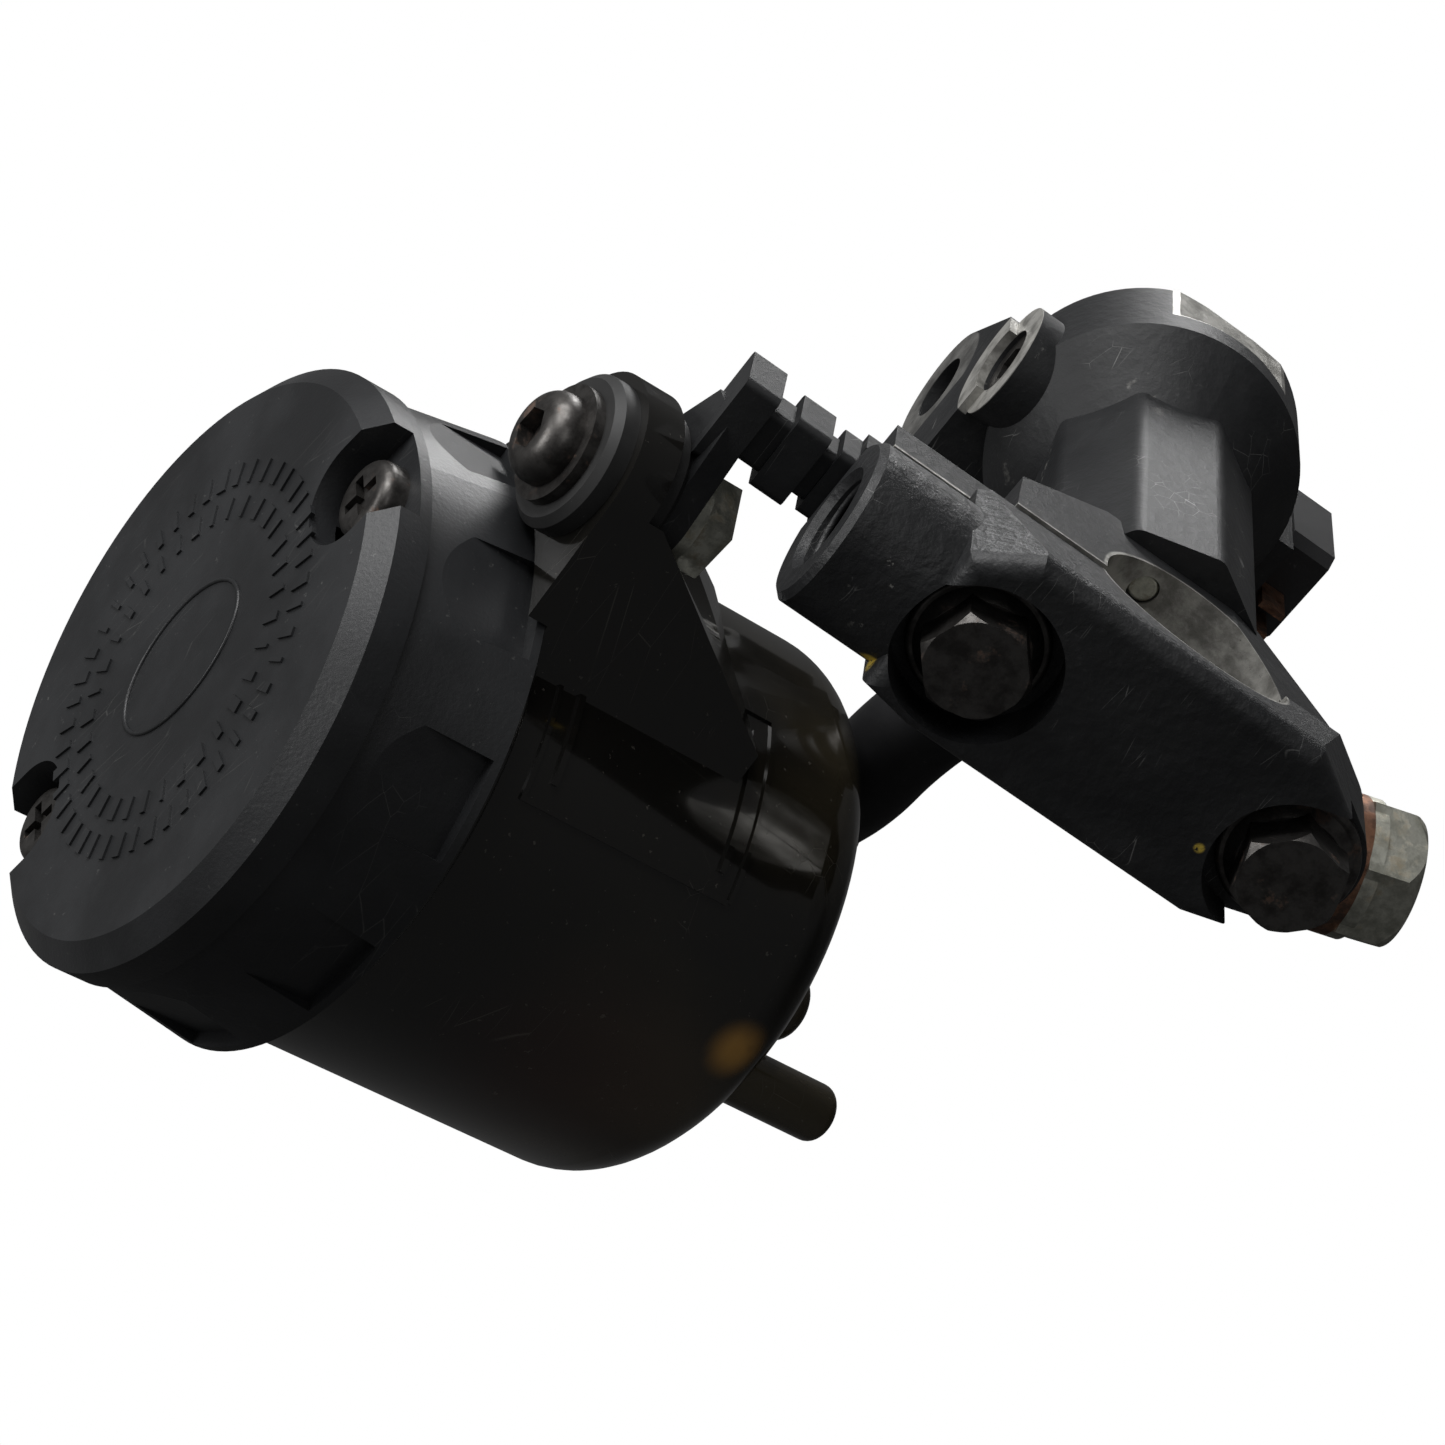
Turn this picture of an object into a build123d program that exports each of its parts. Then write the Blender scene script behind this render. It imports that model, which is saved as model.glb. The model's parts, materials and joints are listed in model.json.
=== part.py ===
from build123d import *
import os
from math import cos, radians, sin, tan

# Radial front brake master cylinder for the right handlebar, lever removed.
# Origin: handlebar axis at the clamp. +X outboard along the bar, +Y forward, +Z up (mirror side).
# All sizes in millimetres.

os.makedirs("parts", exist_ok=True)

# ---- handlebar clamp ----
bar_radius = 11.1              # 22.2 mm handlebar
saddle_half_width = 9.8        # body clamp block, half its length along the bar
block_depth = 17.0             # body block, forward from the split plane
block_taper = 6.0              # degrees, block sides lean in toward the cylinder
block_top = 22.0
block_bottom = -25.5
bolt_offset = 18.8             # clamp bolts above and below the bar axis
split_gap = 0.5                # open joint below the bar
cap_inboard = -9.7
cap_outboard = 12.6
cap_relief = 9.4               # outboard side of the cap at the split plane
cap_front = -15.5              # rearmost face of the clamp cap
bolt_seat = -10.0              # bottom of the spot faces
spot_radius = 8.4
cap_end_radius = 7.6
locating_hole_radius = 1.7
locating_hole_depth = 6.5

# ---- fasteners ----
m6_radius = 3.0
m6_flange_radius = 7.1
m6_flange_height = 1.3
m6_flats = 10.0
m6_head_height = 6.6
clamp_thread_depth = 9.5
hole_clearance = 0.3           # screw shank in a plain hole, radial

# ---- mirror boss ----
mirror_radius = 5.0            # M10 thread
mirror_boss_radius = 9.1
mirror_boss_y = -6.5
mirror_boss_top = 37.0
mirror_depth = 9.2             # ends above the upper bolt's spot face

# ---- cylinder ----
bore_radius = 8.0              # 16 mm piston
bore_end = 18.5                # closed end of the bore
neck_radius = 11.3
neck_flats = 8
collar_radius = 17.5
collar_start = 55.0
collar_end = 66.5
collar_flat = 16.0             # machined flat, distance from the axis
mouth_radius = 10.0            # counterbore for the boot
mouth_depth = 4.2
gallery_radius = 0.8
running_clearance = 0.05
piston_travel = 11.0

# ---- lever pivot ----
pivot_x = -12.0
pivot_y = 72.0
pivot_radius = 4.0
ear_radius = 7.6
ear_inner = 9.5                # inner faces of the ears above and below the axis
ear_outer = 20.0

# ---- outlet port ----
port_face = (-8.0, 11.1, -27.6)
port_direction = (0.25, 0.10, -0.96)
port_boss_radius = 8.0
port_thread_radius = 5.0
port_depth = 8.2
washer_thickness = 1.6
washer_count = 3
washer_radius = 7.6
banjo_head_height = 6.2

# ---- feed port plug on top of the collar ----
plug_y = 58.6
plug_boss_radius = 7.0
plug_boss_top = 19.0
plug_radius = 4.0
plug_length = 5.0

# ---- inlet from the reservoir ----
inlet_face_x = -13.3
inlet_y = 28.0
inlet_z = 4.0
inlet_direction = (-0.97, 0.05, 0.20)
inlet_boss_radius = 7.4
inlet_bore_radius = 4.6
inlet_bore_depth = 4.4
inlet_screw_offset = 10.6
nipple_radius = 3.7
nipple_hole = 2.2
nipple_length = 13.5
hose_radius = 5.7
hose_overlap = 8.5
hose_lead = 5.0                # straight run past each spigot's end
clip_width = 5.0
clip_thickness = 0.9
oring_section = 0.9

# ---- reservoir ----
reservoir_origin = (-55.1, -0.5, 78.2)     # centre of the cap's top edge
reservoir_axis = (0.079, -0.336, 0.938)    # from the cup's bottom to its cap
lip_radius = 33.5
lip_height = 5.8
cap_bevel = 2.6
skirt_top_radius = 32.7
skirt_radius = 34.8
skirt_facet = 33.0             # flats around the skirt, distance from the axis
skirt_end = -19.6
cup_radius = 31.5
cup_wall = 2.2
cup_rim = -9.4                 # top of the cup's rim, below the cap's top
cup_bottom = -68.3
cup_corner = 7.5
cap_clearance = 0.4            # skirt to cup, radial
cap_screw_orbit = 27.6
cap_screw_turn = -5.0
cap_screw_radius = 2.0
cap_screw_head = 4.3
screw_post_radius = 4.4
screw_post_length = 15.0
diaphragm_thickness = 1.4
plate_thickness = 1.0

# ---- reservoir ear ----
ear_x = 43.3                   # ear hole in the reservoir's own frame
ear_y = -2.7
ear_top = -17.2
ear_plate = 4.6
ear_boss_radius = 9.6
ear_hole_radius = 6.0
ear_web_end = -48.0             # webs run down the cup to here
sleeve_radius = 4.2
sleeve_hole = 3.2
grommet_radius = 8.4
grommet_lip = 2.6
ear_washer_radius = 6.3
ear_washer_thickness = 1.2
button_radius = 4.9
button_height = 3.2
stay_thickness = 3.0
nut_flange_radius = 6.6
nut_height = 5.4

# ---- reservoir stay ----
stay_inboard = -6.4
stay_outboard = 3.6
pad_depth = 5.0
stay_back = 2.0
stay_front = 9.6
stay_top = 49.8
stay_foot = 22.5
pad_half_width = 7.4
pad_top = 35.0
stay_screw_z = 29.0
m5_radius = 2.5

# ---- outlet of the cup and the hose ----
outlet_drop = 7.2              # outlet axis below the cup's bottom
outlet_x = 3.0
outlet_y = 13.0
outlet_turn = -20.0            # degrees, spigot turned from the ear's side
outlet_reach = 14.5            # spigot's end from the elbow's centre
peg_x = -3.0
peg_y = -19.0
peg_radius = 3.3
peg_length = 17.0
foot_x = 3.0                   # short moulded foot beside the peg
foot_y = -12.0
foot_radius = 4.2
foot_length = 9.0
outlet_radius = 3.7
outlet_hole = 2.2

# ---- brake light switch ----
switch_inboard = -10.5
switch_outboard = 2.4
switch_back = 60.5
switch_front = 75.0
switch_depth = 5.8
plunger_radius = 1.6
plunger_length = 4.0
plunger_travel = 2.0
plunger_x = -4.0

forward = Plane(origin=(0, 0, 0), x_dir=(-1, 0, 0), z_dir=(0, 1, 0))
axis_vector = Vector(*reservoir_axis).normalized()
side_vector = Vector(0, 1, 0).cross(axis_vector).normalized()
reservoir = Plane(origin=reservoir_origin, x_dir=side_vector, z_dir=axis_vector)
inlet = Plane(origin=(inlet_face_x, inlet_y, inlet_z), x_dir=(0, 1, 0), z_dir=inlet_direction)
upward = (Align.CENTER, Align.CENTER, Align.MIN)


def rod(start, direction, length, radius):
    return Plane(origin=start, z_dir=direction) * Cylinder(radius, length, align=upward)


def tube(start, direction, length, outer, inner):
    return rod(start, direction, length, outer) - rod(start, direction, length, inner)


def slab(x0, x1, y0, y1, z0, z1):
    centre = Location(((x0 + x1) / 2, (y0 + y1) / 2, (z0 + z1) / 2))
    return centre * Box(x1 - x0, y1 - y0, z1 - z0)


def spun(points, plane=Plane.XZ):
    return revolve(plane * make_face(Polyline(*points, close=True)), Axis.Z)


def along_bore(points):
    # points are (radius, distance forward along the bore)
    profile = make_face(Polyline(*[(r, y) for r, y in points], close=True))
    return revolve(profile, Axis.Y)


def disc(x, y, low, high, radius):
    return Location((x, y, low)) * Cylinder(radius, high - low, align=upward)


def hexagon(flats, height):
    return extrude(RegularPolygon(flats / 2, 6, major_radius=False), height)


def save(name, shape):
    export_step(shape, f"parts/{name}.step")


def point_along(start, direction, distance):
    return Vector(*start) + Vector(*direction).normalized() * distance


# ---- cylinder body ----

def clamp_block():
    lower = Location((0, -bolt_offset)) * Circle(-block_bottom - bolt_offset)
    upper = Location((0, block_top - 14.0)) * Rectangle(2 * saddle_half_width, 28.0)
    outline = make_hull((lower + upper).edges())
    block = extrude(forward * outline, block_depth, taper=block_taper)
    side = make_face(Polyline(
        (0, block_top + 1),
        (8.0, block_top + 1),
        (block_depth, 10.0),
        (block_depth, -7.0),
        (9.5, block_bottom + 4.0),
        (7.5, block_bottom - 1),
        (0, block_bottom - 1),
        close=True,
    ))
    limit = Location((-20, 0, 0)) * extrude(Plane.YZ * side, 40)
    pad = slab(-pad_half_width, pad_half_width, 0, pad_depth, block_top - 6, pad_top)
    return (block & limit) + pad


def neck():
    section = fillet(RegularPolygon(neck_radius, neck_flats, major_radius=False).vertices(), 2.0)
    start = bar_radius + 2.5
    return extrude(forward.offset(start) * (Rot(0, 0, 8) * section), collar_start - start)


def collar():
    flare = 6.5
    shape = along_bore([
        (0, collar_start - flare - 2),
        (neck_radius - 1.0, collar_start - flare - 2),
        (collar_radius - 0.8, collar_start - 1.0),
        (collar_radius, collar_start),
        (collar_radius, collar_end - 1.2),
        (collar_radius - 1.2, collar_end),
        (0, collar_end),
    ])
    return shape - slab(collar_flat, collar_radius + 1, collar_end - 8.0, collar_end + 1, -20, 20)


def pivot_ear(low, high):
    boss = Location((pivot_x, pivot_y)) * Circle(ear_radius)
    root = Location((pivot_x + 6.5, collar_end - 5.0)) * Rectangle(15.0, 9.0)
    ear = extrude(make_hull((boss + root).edges()), high - low)
    return Location((0, 0, low)) * ear


def passage_ends():
    port_inner = point_along(port_face, port_direction, 1 - port_depth)
    return port_inner, Vector(-2, bore_end + 3, 2 - bore_radius)


def outer_casting():
    body = clamp_block() + neck() + collar()
    body += pivot_ear(ear_inner, ear_outer) + pivot_ear(-ear_outer, -ear_inner)
    body += disc(0, plug_y, bore_radius + 3, plug_boss_top, plug_boss_radius)
    body += rod(point_along(port_face, port_direction, -13.0), port_direction, 13.0, port_boss_radius)
    low, high = passage_ends()
    body += rod(low, high - low, (high - low).length, 3.2)
    body += inlet * Location((0, 0, -7)) * Cylinder(inlet_boss_radius, 7, align=upward)
    body += inlet * Location((inlet_screw_offset, 0, -6)) * Cylinder(4.2, 6, align=upward)
    return body


def build_body():
    body = outer_casting()
    # bar saddle, bore and drillings
    body -= slab(-40, 40, -40, 0, -60, 60)
    body -= rod((-30, 0, 0), (1, 0, 0), 60, bar_radius)
    body -= rod((0, bore_end, 0), (0, 1, 0), 60, bore_radius)
    body -= rod((0, collar_end - mouth_depth, 0), (0, 1, 0), 20, mouth_radius)
    body -= slab(-40, 40, collar_end, 120, -ear_inner, ear_inner)
    body -= rod((pivot_x, pivot_y, -60), (0, 0, 1), 120, pivot_radius)
    body -= rod(locating_place, (0, 1, 0), locating_hole_depth, locating_hole_radius)
    for side in (1, -1):
        body -= rod((0, -1, side * bolt_offset), (0, 1, 0), clamp_thread_depth + 2, m6_radius)
    # outlet port and its passage to the bore
    port_bottom = point_along(port_face, port_direction, -port_depth)
    body -= rod(port_bottom, port_direction, 20, port_thread_radius)
    low, high = passage_ends()
    body -= rod(low, high - low, (high - low).length, 1.3)
    # inlet, feed gallery and the two ports into the bore
    body -= inlet * Location((0, 0, -inlet_bore_depth)) * Cylinder(inlet_bore_radius, 12, align=upward)
    body -= inlet * Location((inlet_screw_offset, 0, -5.8)) * Cylinder(1.5, 10, align=upward)
    gallery = bore_radius + 0.9 + gallery_radius
    body -= rod((-gallery, inlet_y, 1.0), (0, 1, 0), 25.0, gallery_radius)
    for distance in (36.6, 46.0):
        body -= rod((-gallery, distance, 1.0), (1, 0, 0), gallery, 0.5)
    body -= disc(0, plug_y, plug_boss_top - plug_length - 0.6, plug_boss_top + 1, plug_radius)
    body -= circlip_groove()
    body -= rod((stay_screw_x, 0.6, stay_screw_z), (0, 1, 0), 20, m5_radius)
    body -= rod((switch_screw[0], switch_screw[1], -ear_outer - 1), (0, 0, 1), 8.0, 1.5)
    return body


def circlip_groove():
    return along_bore([
        (bore_radius - 0.5, circlip_y),
        (bore_radius + 0.8, circlip_y),
        (bore_radius + 0.8, circlip_y + circlip_thickness),
        (bore_radius - 0.5, circlip_y + circlip_thickness),
    ])


# ---- pieces inside the bore, placed by their distance along it ----
circlip_thickness = 1.1
piston_front = 59.6
stop_washer_thickness = 1.2
circlip_y = piston_front + stop_washer_thickness
seal_length = 3.2
seat_thickness = 1.4
piston_back = 41.0
seal_back = piston_back - seal_length
spring_end = seal_back - seat_thickness
socket_radius = 4.0
socket_y = 54.0
switch_screw = (-2.0, 63.8)
locating_place = (5.8, 8.0, 3.8)
stay_screw_x = -1.4


def build_piston():
    r = bore_radius - running_clearance
    piston = along_bore([
        (0, piston_back - 2.2),
        (2.6, piston_back - 2.2),
        (2.6, piston_back),
        (r, piston_back),
        (r, piston_back + 2.2),
        (4.6, piston_back + 3.2),
        (4.6, piston_front - 9.4),
        (r, piston_front - 8.4),
        (r, piston_front - 7.0),
        (6.0, piston_front - 7.0),
        (6.0, piston_front - 4.0),
        (r, piston_front - 4.0),
        (r, piston_front),
        (0, piston_front),
    ])
    piston -= Location((0, socket_y, 0)) * Sphere(socket_radius)
    return piston - rod((0, socket_y, 0), (0, 1, 0), 20, socket_radius + 0.4)


def build_primary_seal():
    r = bore_radius - 0.02
    return along_bore([
        (2.6, seal_back + 1.0),
        (4.4, seal_back + 1.0),
        (6.2, seal_back),
        (r, seal_back),
        (r, piston_back),
        (2.6, piston_back),
    ])


def build_secondary_seal():
    r = bore_radius - 0.02
    return along_bore([
        (6.0, piston_front - 7.0),
        (6.9, piston_front - 7.0),
        (r, piston_front - 6.6),
        (r, piston_front - 4.0),
        (6.0, piston_front - 4.0),
    ])


def build_spring_seat():
    return along_bore([
        (2.6, spring_end),
        (6.0, spring_end),
        (6.0, seal_back),
        (4.4, seal_back + 1.0),
        (2.6, seal_back + 1.0),
    ])


def build_return_spring():
    wire = 0.6
    coil_radius = 4.8
    turns = 5.0
    length = spring_end - bore_end - 2 * wire
    helix = Helix(pitch=length / turns, height=length, radius=coil_radius)
    start = Plane(origin=helix @ 0, z_dir=helix % 0)
    spring = sweep(start * Circle(wire), path=helix)
    turned = Plane(origin=(0, bore_end + wire, 0), x_dir=(1, 0, 0), z_dir=(0, 1, 0))
    return turned * spring


def build_stop_washer():
    return tube((0, piston_front, 0), (0, 1, 0), stop_washer_thickness, bore_radius - 0.1, 4.6)


def build_circlip():
    r = bore_radius + 0.8
    ring = tube((0, circlip_y, 0), (0, 1, 0), circlip_thickness, r, bore_radius - 1.4)
    return ring - slab(-2.2, 2.2, circlip_y - 1, circlip_y + 3, bore_radius - 2.5, bore_radius + 2)


def build_push_rod():
    end = pivot_y + 9.0
    rod_radius = 3.0
    shape = Location((0, socket_y, 0)) * Sphere(socket_radius)
    shape += rod((0, socket_y, 0), (0, 1, 0), end - socket_y - rod_radius, rod_radius)
    shape += Location((0, end - rod_radius, 0)) * Sphere(rod_radius)
    return shape


def build_boot():
    base = collar_end - mouth_depth + 0.1
    rod_gap = 3.4
    return along_bore([
        (mouth_radius - 2.2, base),
        (mouth_radius, base),
        (mouth_radius, collar_end),
        (8.2, collar_end + 0.4),
        (6.2, collar_end + 1.4),
        (7.8, collar_end + 2.8),
        (5.4, collar_end + 4.2),
        (6.4, collar_end + 5.6),
        (5.0, collar_end + 7.2),
        (rod_gap, collar_end + 7.2),
        (rod_gap, collar_end + 5.4),
        (5.2, collar_end + 5.4),
        (4.2, collar_end + 4.2),
        (6.4, collar_end + 2.8),
        (4.9, collar_end + 1.4),
        (7.2, collar_end - 0.6),
    ])


# ---- clamp cap and its bolts ----

def cap_outline():
    main = Location(((cap_inboard + cap_outboard) / 2, 3.5)) * Rectangle(cap_outboard - cap_inboard, 33.0)
    lower = Location((0, -bolt_offset)) * Circle(cap_end_radius)
    upper = Location((0, 25.0)) * Rectangle(2 * mirror_boss_radius - 1.0, 2.0)
    return make_hull((main + lower + upper).edges())


def cap_relief_cut():
    # the outboard side leans in toward the split plane
    wedge = make_face(Polyline(
        (cap_outboard, cap_front + 2.5),
        (cap_relief, 0),
        (cap_outboard + 10, 0),
        (cap_outboard + 10, cap_front + 2.5),
        close=True,
    ))
    return Location((0, 0, -40)) * extrude(wedge, 80)


def mirror_hole():
    low = mirror_boss_top - mirror_depth
    hole = spun([
        (0, low),
        (mirror_radius, low),
        (mirror_radius, mirror_boss_top - 0.8),
        (mirror_radius + 0.8, mirror_boss_top),
        (mirror_radius + 0.8, mirror_boss_top + 1),
        (0, mirror_boss_top + 1),
    ])
    return Location((0, mirror_boss_y, 0)) * hole


def mirror_boss():
    boss = spun([
        (0, bolt_offset - 4),
        (mirror_boss_radius, bolt_offset - 4),
        (mirror_boss_radius, mirror_boss_top - 0.7),
        (mirror_boss_radius - 0.7, mirror_boss_top),
        (0, mirror_boss_top),
    ])
    return Location((0, mirror_boss_y, 0)) * boss


def build_clamp_cap():
    rearward = Plane(origin=(0, 0, 0), x_dir=(1, 0, 0), z_dir=(0, -1, 0))
    cap = extrude(rearward * cap_outline(), -cap_front)
    cap -= cap_relief_cut()
    cap = fillet(cap.edges().filter_by(lambda e: e.center().Y < cap_front + 0.1), 2.0)
    cap += mirror_boss()
    cap -= slab(-30, 30, 0, 30, -60, 60)
    cap -= slab(-30, 30, -split_gap, 1, -60, 0)
    cap -= rod((-30, 0, 0), (1, 0, 0), 60, bar_radius)
    for side in (1, -1):
        cap -= rod((0, bolt_seat, side * bolt_offset), (0, -1, 0), 20, spot_radius)
        cap -= rod((0, -30, side * bolt_offset), (0, 1, 0), 40, m6_radius + hole_clearance)
    # the spot face is open toward the lower end
    cap -= slab(-spot_radius + 0.4, spot_radius - 0.4, -30, bolt_seat, -40, -bolt_offset)
    return cap - mirror_hole()


def flange_bolt(length):
    bolt = Cylinder(m6_flange_radius, m6_flange_height, align=upward)
    bolt = fillet(bolt.edges().sort_by(Axis.Z)[-1], 0.5)
    shoulder = Location((0, 0, m6_flange_height)) * Cone(6.3, 5.2, 1.0, align=upward)
    head = hexagon(m6_flats, m6_head_height)
    crown = Cone(m6_flats, m6_flats / 2 + 0.1, m6_head_height, align=upward)
    shank = Location((0, 0, -length)) * Cylinder(m6_radius, length, align=upward)
    return bolt + shoulder + (head & crown) + shank


def build_clamp_bolts():
    bolts = []
    for side in (1, -1):
        place = Plane(origin=(0, bolt_seat, side * bolt_offset), x_dir=(0, 0, 1), z_dir=(0, -1, 0))
        bolts.append(place * Rot(0, 0, 12 * side) * flange_bolt(clamp_thread_depth - bolt_seat))
    return Compound(bolts)


# ---- outlet port pieces ----

def build_crush_washers():
    washers = []
    for index in range(washer_count):
        start = point_along(port_face, port_direction, index * washer_thickness)
        ring = tube(start, port_direction, washer_thickness, washer_radius, port_thread_radius + 0.1)
        washers.append(ring)
    return Compound(washers)


def build_banjo_bolt():
    stack = washer_thickness * washer_count
    seat = Plane(origin=point_along(port_face, port_direction, stack), z_dir=port_direction)
    length = stack + port_depth - 0.4
    bolt = Cylinder(washer_radius, 1.6, align=upward)
    head = hexagon(14.0, banjo_head_height) & Cone(11.0, 7.0, banjo_head_height, align=upward)
    shank = Location((0, 0, -length)) * Cylinder(port_thread_radius, length, align=upward)
    bore = Location((0, 0, -length - 1)) * Cylinder(1.6, length - 2, align=upward)
    return seat * (bolt + head + shank - bore)


def build_port_plug():
    low = plug_boss_top - plug_length - 0.6
    plug = disc(0, plug_y, low, low + plug_length, plug_radius)
    socket = Location((0, plug_y, low + plug_length - 2.4)) * hexagon(4.0, 4.0)
    return plug - socket


# ---- inlet ----

def build_inlet_nipple():
    pilot = inlet_bore_radius - 0.1
    groove = pilot - 1.5 * oring_section
    nipple = spun([
        (nipple_hole, 0.2 - inlet_bore_depth),
        (pilot, 0.2 - inlet_bore_depth),
        (pilot, -3.0),
        (groove, -3.0),
        (groove, -3.0 + 2 * oring_section),
        (pilot, -3.0 + 2 * oring_section),
        (pilot, 0),
        (6.4, 0),
        (6.4, 2.4),
        (nipple_radius, 2.4),
        (nipple_radius, nipple_length - 2.0),
        (nipple_radius - 0.6, nipple_length),
        (nipple_hole, nipple_length),
    ])
    eye = Location((inlet_screw_offset, 0)) * Circle(4.0)
    outline = make_hull((Circle(5.4) + eye).edges())
    tab = extrude(outline, 2.4) - Cylinder(nipple_radius, 10)
    tab -= Location((inlet_screw_offset, 0)) * Cylinder(1.5 + hole_clearance / 2, 10)
    return inlet * (nipple + tab)


def build_inlet_oring():
    centre = inlet_bore_radius - 0.1 - 0.75 * oring_section
    ring = Location((0, 0, -3.0 + oring_section)) * Torus(centre, 0.74 * oring_section)
    return inlet * ring


def pan_screw(radius, length, head_radius, head_height, slot):
    shank = Location((0, 0, -length)) * Cylinder(radius, length, align=upward)
    head = Cylinder(head_radius, head_height, align=upward)
    head = fillet(head.edges().sort_by(Axis.Z)[-1], 0.45 * head_height)
    cross = Location((0, 0, head_height)) * (Box(slot, 0.24 * slot, 2.0) + Box(0.24 * slot, slot, 2.0))
    return shank + head - cross


def build_inlet_screw():
    return inlet * Location((inlet_screw_offset, 0, 2.4)) * pan_screw(1.5, 7.6, 2.8, 2.0, 3.2)


# ---- reservoir, in its own frame: Z along the cup, zero at the cap's top edge ----

def screw_places(orbit):
    return [Rot(0, 0, cap_screw_turn + turn) * Location((orbit, 0, 0)) for turn in (0, 180)]


def build_reservoir_cap():
    cap = spun([
        (0, 0),
        (lip_radius - cap_bevel, 0),
        (lip_radius, -cap_bevel * 0.8),
        (lip_radius, -lip_height),
        (skirt_top_radius, -lip_height - 0.4),
        (skirt_radius, skirt_end),
        (cup_radius + cap_clearance, skirt_end),
        (cup_radius + cap_clearance - 0.9, cup_rim),
        (0, cup_rim),
    ])
    cap -= Location((0, 0, cup_rim)) * Cylinder(21.8, -cup_rim - 3.2, align=upward)
    for place in screw_places(cap_screw_orbit):
        scoop = Cylinder(6.2, 8.8) + Location((8, 0, 0)) * Box(16, 12.4, 8.8)
        cap -= place * scoop
        cap -= place * Cylinder(cap_screw_radius + hole_clearance, 60)
    count = 10
    for index in range(count):
        turn = cap_screw_turn + 180 / count + index * 360 / count
        groove = Location((skirt_facet + 2.0, 0, skirt_end + 6.2)) * Box(4.0, 11.0, 10.6)
        cap -= Rot(0, 0, turn) * groove
    return cap


def build_cap_screws():
    screw = pan_screw(cap_screw_radius, 15.5, cap_screw_head, 2.8, 5.0)
    return [place * Location((0, 0, -4.4)) * screw for place in screw_places(cap_screw_orbit)]


def cup_inside(radius, top):
    low = cup_bottom + cup_wall
    hollow = Location((0, 0, low)) * Cylinder(radius, top - low, align=upward)
    return fillet(hollow.edges().filter_by(GeomType.CIRCLE).sort_by(Axis.Z)[0], cup_corner - cup_wall)


def cup_shell():
    rim = cup_rim - diaphragm_thickness
    shell = spun([
        (0, rim),
        (cup_radius - 0.9, rim),
        (cup_radius, skirt_end),
        (cup_radius, cup_bottom),
        (0, cup_bottom),
    ])
    shell = fillet(shell.edges().filter_by(GeomType.CIRCLE).sort_by(Axis.Z)[0], cup_corner)
    return shell


def ear():
    # eye beside the cup, its plate and the webs that run down the cup's wall
    boss = Location((ear_x, ear_y)) * Circle(ear_boss_radius)
    root = Location((cup_radius - 6.0, ear_y * 0.5)) * Rectangle(2.0, 30.0)
    outline = make_hull((boss + root).edges())
    plate = Location((0, 0, ear_top - ear_plate)) * extrude(outline, ear_plate)
    skirt = Location((0, 0, -60)) * extrude(outline, 60)
    wedge = make_face(Polyline(
        (cup_radius - 8.0, ear_top - 1),
        (ear_x + 12.0, ear_top - 1),
        (ear_x + 12.0, ear_top - ear_plate),
        (ear_x + 2.0, ear_top - ear_plate - 2.0),
        (cup_radius - 1.0, ear_web_end),
        (cup_radius - 8.0, ear_web_end),
        close=True,
    ))
    webs = skirt & (Location((0, 40, 0)) * extrude(Plane.XZ * wedge, 80))
    webs -= Location((ear_x, ear_y, ear_top - ear_plate - 60)) * Cylinder(ear_boss_radius, 60, align=upward)
    above_skirt = Location((0, 0, skirt_end)) * Cylinder(skirt_radius + cap_clearance, 60, align=upward)
    return plate + webs - above_skirt


def outlet_point(distance):
    # a point on the spigot's axis, in the reservoir's frame
    turn = radians(outlet_turn)
    return Vector(outlet_x + distance * cos(turn), outlet_y + distance * sin(turn), cup_bottom - outlet_drop)


def stud(x, y, radius, length):
    shape = Location((x, y, cup_bottom - length)) * Cylinder(radius, length + 1, align=upward)
    return fillet(shape.edges().sort_by(Axis.Z)[0], 0.45 * radius)


def outlet():
    start = outlet_point(0)
    block = Location(start) * Cylinder(6.0, outlet_drop + 1.2, align=upward)
    ball = Location(start) * Sphere(6.0)
    spigot = rod(start, outlet_point(1) - start, outlet_reach, outlet_radius)
    studs = stud(peg_x, peg_y, peg_radius, peg_length) + stud(foot_x, foot_y, foot_radius, foot_length)
    return block + ball + spigot + studs


def outlet_bore():
    start = outlet_point(0)
    across = rod(start, outlet_point(1) - start, 40, outlet_hole)
    return across + Location(start) * Cylinder(outlet_hole, 12, align=upward)


def build_reservoir_cup():
    rim = cup_rim - diaphragm_thickness
    bead = Location((0, 0, skirt_end - 1.3)) * Torus(cup_radius, 0.8)
    cup = cup_shell() + bead + ear() + outlet() - cup_inside(cup_radius - cup_wall, 0)
    for place in screw_places(cap_screw_orbit):
        post = Cylinder(screw_post_radius, screw_post_length, align=upward)
        post = Location((0, 0, rim - screw_post_length)) * post
        within = Location((0, 0, -40)) * Cylinder(cup_radius - 1.2, 80)
        cup += (place * post) & within
    for place in screw_places(cap_screw_orbit):
        cup -= place * Location((0, 0, -20.4)) * Cylinder(cap_screw_radius + running_clearance, 30, align=upward)
    cup -= Location((ear_x, ear_y, 0)) * Cylinder(ear_hole_radius, 200)
    return cup - outlet_bore()


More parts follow.
